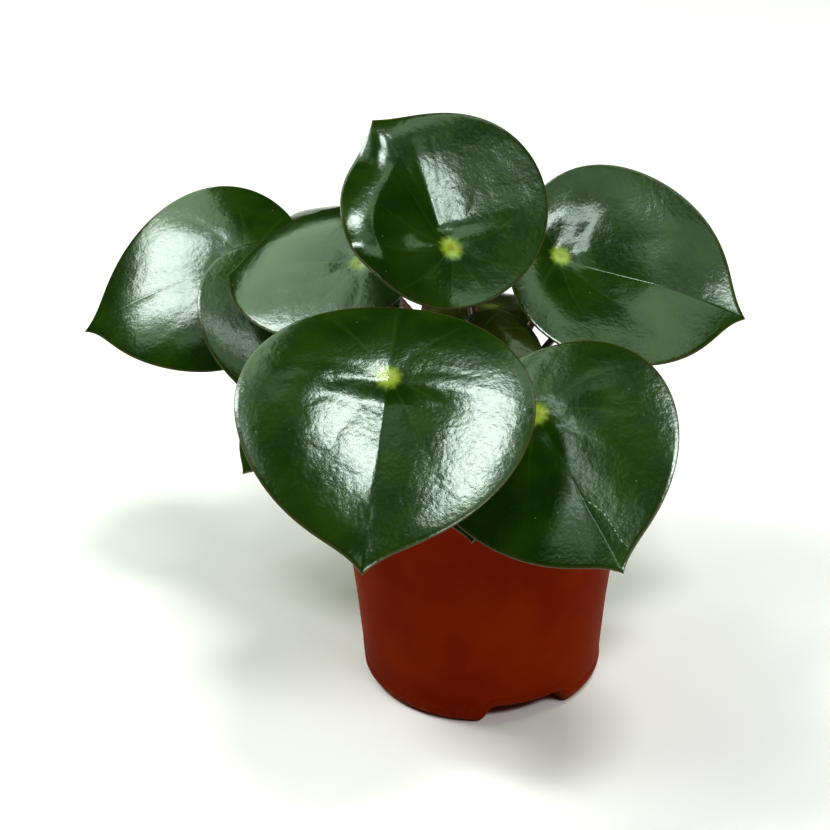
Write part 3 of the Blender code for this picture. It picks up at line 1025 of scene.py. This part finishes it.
@dataclass(frozen=True)
class Soil:
    """Potting mix that fills the pot, with an uneven top and loose crumbs."""

    top: float = 78.0
    mound: float = 2.0
    mound_radius: float = 24.0
    hole: float = 8.3
    hole_floor: float = 55.7
    rim: float = 47.9
    rings: int = 34
    clearance: float = 0.4
    floor: float = 1.8
    floor_radii: tuple[float, ...] = (39.0, 30.0, 26.0, 23.5, 0.0)
    roughness: float = 1.1
    steps: int = 150
    crumbs: int = 520
    fibres: int = 46
    fibre_radius: float = 0.28
    seed: int = 11

    def height(self, x: float, y: float) -> float:
        """Reads the height of the top: a low mound with lumps and fine unevenness.

        Args:
            x: millimetres along X.
            y: millimetres along Y.

        Returns:
            Millimetres.
        """
        mound = self.mound * math.exp(-((x * x + y * y) / self.mound_radius**2))
        lumps = (math.sin(0.31 * x + 1.7 * math.sin(0.23 * y))
                 + math.sin(0.37 * y - 1.3 * math.sin(0.19 * x)))
        fine = math.sin(0.83 * x + 0.41 * y + 1.0) * math.sin(0.71 * y - 0.35 * x)
        bits = noise.noise(Vector((x, y, 3.0)) / 2.4) * 0.8 + noise.noise(Vector((x, y, 9.0)) / 1.1) * 0.4
        return self.top + mound + self.roughness * (0.45 * lumps + 0.5 * fine) + bits

    def build(self, pot: Pot, finish: PeatFinish) -> Object:
        """Turns the fill, roughens its top and strews crumbs and fibres on it.

        Args:
            pot: the pot that it fills.
            finish: its finish.

        Returns:
            The piece.
        """
        across = self.rim - self.hole
        profile = [(0.0, self.hole_floor), (self.hole, self.hole_floor), (self.hole, self.top)]
        profile += [(self.hole + across * (i + 1) / self.rings, self.top) for i in range(self.rings)]
        profile += [(radius - self.clearance, z) for radius, z in reversed(pot.inside)
                    if self.floor + 0.5 < z < self.top - 3.0]
        profile += [(radius, self.floor) for radius in self.floor_radii]
        bm = lathe(profile, self.steps)
        for vert in bm.verts:
            x, y, z = vert.co / MM
            if abs(z - self.top) < 0.01:
                vert.co.z = self.height(x, y) * MM
            else:
                vert.co.z += pot.lift(x, y, z) * MM
        self._strew(bm)
        return piece("potting_mix", bm, "soil", "peat", finish.material())

    def _strew(self, bm: BMesh) -> None:
        """Adds the crumbs and fibres.

        Args:
            bm: the bmesh that they join.
        """
        draw = random.Random(self.seed)
        for i in range(self.crumbs + self.fibres):
            radius = math.sqrt(draw.uniform((self.hole + 2.5) ** 2, (self.rim - 1.8) ** 2))
            turn = draw.uniform(0.0, math.tau)
            x, y = radius * math.cos(turn), radius * math.sin(turn)
            if i < self.crumbs:
                size = 0.5 + 1.1 * draw.random() ** 2.5
                shares = (draw.uniform(0.8, 1.5), draw.uniform(0.8, 1.2), draw.uniform(0.6, 0.9))
                scale = tuple(size * share for share in shares)
            else:
                scale = (draw.uniform(2.0, 4.5), self.fibre_radius, self.fibre_radius)
            tilt = Matrix.Rotation(draw.uniform(-0.35, 0.35), 4, "Y")
            place = (Matrix.Translation(Vector((x, y, self.height(x, y) + 0.25 * scale[2])) * MM)
                     @ Matrix.Rotation(draw.uniform(0.0, math.tau), 4, "Z") @ tilt
                     @ Matrix.Diagonal((*(s * MM for s in scale), 1.0)))
            made = bmesh.ops.create_icosphere(bm, subdivisions=1, radius=1.0, matrix=place)
            for vert in made["verts"]:
                vert.co += Vector(draw.uniform(-0.12, 0.12) * s * MM for s in scale)


@dataclass(frozen=True)
class Softbox:
    """A flat light under the ceiling. Its place and size are shares of the ceiling's height."""

    name: str
    place: Pair
    size: Pair
    radiance: float
    colour: Colour = (1.0, 1.0, 1.0)
    turn: float = 0.0
    ceiling: float = 3.0

    def build(self, middle: Vector) -> None:
        """Hangs the light.

        Args:
            middle: the middle of the plant, in metres.
        """
        data = bpy.data.lights.new(self.name, "AREA")
        data.shape = "RECTANGLE"
        data.color = self.colour
        data.size, data.size_y = (share * self.ceiling for share in self.size)
        data.energy = self.radiance * math.pi * data.size * data.size_y
        away = Vector((*self.place, 1.0)) * self.ceiling
        turned = Matrix.Rotation(math.radians(self.turn), 4, "Z")
        linked(self.name, data).matrix_world = Matrix.Translation(middle + away) @ turned


LEAF_LIGHT = (0.82, 1.00, 0.76)  # of the faint panels, as if from leaves around the plant

SOFTBOXES = (
    Softbox("softbox_left", (-0.82, 0.21), (0.56, 0.25), 18.5, turn=-35.0),
    Softbox("softbox_top", (0.175, -0.135), (0.25, 0.165), 27.0),
    Softbox("softbox_right", (0.88, -0.66), (0.22, 0.26), 23.0),
    Softbox("softbox_fan", (0.52, -0.80), (0.44, 0.32), 11.0),
    Softbox("softbox_low", (-0.50, -0.15), (0.11, 0.13), 8.5),
    *(Softbox(f"panel_{name}", place, size, radiance, LEAF_LIGHT) for name, place, size, radiance in (
        ("back", (-0.765, 0.83), (0.73, 1.16), 2.9),
        ("side", (-0.925, 0.06), (0.41, 0.38), 2.9),
        ("middle", (-0.43, 0.05), (0.18, 0.40), 1.3),
        ("low", (-0.57, -0.30), (0.42, 0.16), 2.1),
        ("front", (-0.20, 0.01), (0.16, 0.12), 1.8),
        ("right", (0.62, 0.11), (0.60, 0.34), 2.4),
        ("centre", (0.46, -0.33), (0.56, 0.24), 1.6),
        ("high", (1.07, -0.40), (0.18, 0.18), 2.0),
    )),
)


@dataclass(frozen=True)
class Studio:
    """Pale floor, soft lights and a camera at the angle of the photograph."""

    elevation: float = 24.4
    camera_roll: float = -1.0
    focal_pixels: float = 1500.0
    picture_pixels: float = 830.0
    base_pixel: Pair = (481.0, 655.0)  # where the middle of the pot's foot shows
    base_depth: float = 558.0
    sensor: float = 36.0
    floor_radius: float = 1.7
    floor_colour: Colour = (0.98, 0.97, 0.98)
    floor_roughness: float = 0.9
    plant_middle: Colour = (-20.0, 10.0, 130.0)
    sky: float = 0.03
    look: str = "Medium High Contrast"

    def camera(self) -> None:
        """Places the camera so that the foot of the pot shows at its pixel."""
        tilt, roll = math.radians(self.elevation), math.radians(self.camera_roll)
        right, up = Vector((1.0, 0.0, 0.0)), Vector((0.0, math.sin(tilt), math.cos(tilt)))
        ahead = Vector((0.0, math.cos(tilt), -math.sin(tilt)))
        side = right * math.cos(roll) + up * math.sin(roll)
        top = up * math.cos(roll) - right * math.sin(roll)
        middle = self.picture_pixels / 2
        across = (self.base_pixel[0] - middle) / self.focal_pixels * self.base_depth
        above = (middle - self.base_pixel[1]) / self.focal_pixels * self.base_depth
        place = -(side * across + top * above + ahead * self.base_depth) * MM
        data = bpy.data.cameras.new("camera")
        data.sensor_width = self.sensor
        data.lens = self.focal_pixels / self.picture_pixels * self.sensor
        data.clip_start, data.clip_end = 0.01, 50.0
        made = linked("camera", data)
        made.matrix_world = Matrix.Translation(place) @ Matrix((side, top, -ahead)).transposed().to_4x4()
        bpy.context.scene.camera = made

    def floor(self) -> None:
        """Lays the floor."""
        bm = bmesh.new()
        bmesh.ops.create_circle(bm, cap_ends=True, segments=96, radius=self.floor_radius)
        made = linked("floor", bm)
        graph = Graph("pale_floor")
        graph.shader.inputs["Specular IOR Level"].default_value = 0.0
        made.data.materials.append(graph.dress(self.floor_colour, self.floor_roughness))

    def lights(self) -> None:
        """Hangs the softboxes under a faint sky, which the camera sees as white."""
        world = bpy.data.worlds.new("studio")
        world.use_nodes = True
        nodes, links = world.node_tree.nodes, world.node_tree.links
        background = nodes["Background"]
        background.inputs["Color"].default_value = (1.0, 1.0, 1.0, 1.0)
        strength = nodes.new("ShaderNodeMapRange")
        strength.inputs["To Min"].default_value = self.sky
        links.new(nodes.new("ShaderNodeLightPath").outputs["Is Camera Ray"], strength.inputs["Value"])
        links.new(strength.outputs["Result"], background.inputs["Strength"])
        bpy.context.scene.world = world
        for box in SOFTBOXES:
            box.build(Vector(self.plant_middle) * MM)

    def build(self) -> None:
        """Builds the studio and sets how its picture is graded."""
        self.camera()
        self.floor()
        self.lights()
        grading = bpy.context.scene.view_settings
        grading.view_transform, grading.look = "Standard", self.look


def main() -> None:
    """Builds the plant, its pot and the studio round them."""
    logging.basicConfig(level=logging.INFO, format="%(name)s %(message)s")
    # one upper finish for each tone, the SHADED one with painted shade
    upper = {age: UpperFinish().material(age) for age in LeafTone}
    under = UnderFinish().material()
    pieces = []
    for blade in BLADES:
        skin = UpperFinish().material(blade.age, blade.scar) if blade.scar else upper[blade.age]
        pieces.append(blade.build(skin, under))
    pieces.append(Stem().build(StalkFinish()))
    pot = Pot()
    pieces.append(pot.build(PotFinish()))
    pieces.append(Soil().build(pot, PeatFinish()))
    Studio().build()
    for made in pieces:
        log.info("%s: %d faces", made.name, len(made.data.polygons))


if __name__ == "__main__":
    main()
